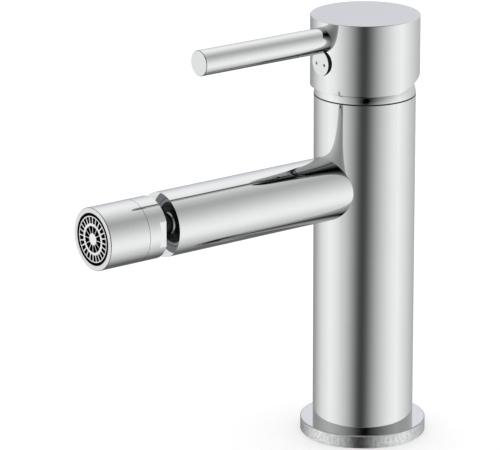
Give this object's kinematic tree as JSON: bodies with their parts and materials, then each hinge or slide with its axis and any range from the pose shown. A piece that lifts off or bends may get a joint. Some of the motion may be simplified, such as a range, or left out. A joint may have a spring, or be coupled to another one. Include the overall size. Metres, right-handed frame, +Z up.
{
  "type": "mixer tap",
  "caption": "Single-lever basin mixer tap: round column on a base ring, straight level spout with a ball-jointed aerator, and a drum handle with a rod lever.",
  "frame": {"origin": "middle of the underside, where the column stands on its deck", "axes": "+Z up along the column; the spout and the lever point along -Y; +X is to the right of someone who stands at the spout's side and faces the tap"},
  "size_m": [0.05, 0.1552, 0.1708],
  "materials": {
    "polished_chrome": "polished",
    "brass": "satin",
    "stainless_steel": "satin",
    "black_rubber": "matte",
    "cartridge_white": "satin",
    "carrier_grey": "satin",
    "ceramic_disc": "polished",
    "dark_plastic": "satin",
    "grille_plastic": "satin",
    "grey_enamel": "gloss",
    "black_enamel": "gloss"
  },
  "bodies": {
    "tap_body": {"column": "polished_chrome", "spout_tube": "polished_chrome", "base_ring": "polished_chrome", "base_gasket": "black_rubber", "collar_ring": "polished_chrome", "seam_washer": "dark_plastic", "cartridge_nut": "brass", "cartridge_housing": "cartridge_white", "cartridge_base": "cartridge_white", "port_seals": "black_rubber", "disc_seals": "black_rubber", "fixed_disc": "ceramic_disc", "ball_stem": "polished_chrome", "stem_seal": "black_rubber"},
    "spindle": {"spindle_carrier": "cartridge_white", "pivot_pin": "stainless_steel", "spindle_seal": "black_rubber"},
    "handle": {"lever_stem": "stainless_steel", "handle_cap": "polished_chrome", "lever_rod": "polished_chrome", "lever_stud": "stainless_steel", "grub_screw": "stainless_steel", "index_plug": "polished_chrome", "index_dot_left": "grey_enamel", "index_dot_right": "black_enamel"},
    "mixing_disc": {"moving_disc": "ceramic_disc", "disc_carrier": "carrier_grey"},
    "tilting_seat": {"rear_seat": "dark_plastic"},
    "panning_seat": {"front_seat": "dark_plastic", "seat_seal": "black_rubber"},
    "aerator_head": {"rear_housing": "polished_chrome", "front_housing": "polished_chrome", "aerator_washer": "black_rubber", "flow_plate": "grille_plastic", "aerator_body": "dark_plastic", "mesh_screens": "stainless_steel", "aerator_grille": "grille_plastic"}
  },
  "joints": [
    {"name": "handle_turn", "type": "hinge", "parent": "tap_body", "child": "spindle", "pos_m": [0, 0, 0.143], "axis": [0, 0, 1], "range_deg": [-45, 45]},
    {"name": "handle_lift", "type": "hinge", "parent": "spindle", "child": "handle", "pos_m": [0, 0, 0.143], "axis": [-1, 0, 0], "range_deg": [0, 16]},
    {"name": "disc_slide", "type": "slide", "parent": "spindle", "child": "mixing_disc", "axis": [0, -1, 0], "range_m": [0, 0.0034]},
    {"name": "aerator_tilt", "type": "hinge", "parent": "tap_body", "child": "tilting_seat", "pos_m": [0, -0.109, 0.1034], "axis": [1, 0, 0], "range_deg": [-12, 12]},
    {"name": "aerator_pan", "type": "hinge", "parent": "tilting_seat", "child": "panning_seat", "pos_m": [0, -0.109, 0.1034], "axis": [0, 0, 1], "range_deg": [-12, 12]},
    {"name": "aerator_spin", "type": "hinge", "parent": "panning_seat", "child": "aerator_head", "pos_m": [0, -0.109, 0.1034], "axis": [0, 1, 0], "continuous": true}
  ],
  "couplings": [
    {"joint": "disc_slide", "follows": "handle_lift", "m_per_rad": 0.01175}
  ]
}
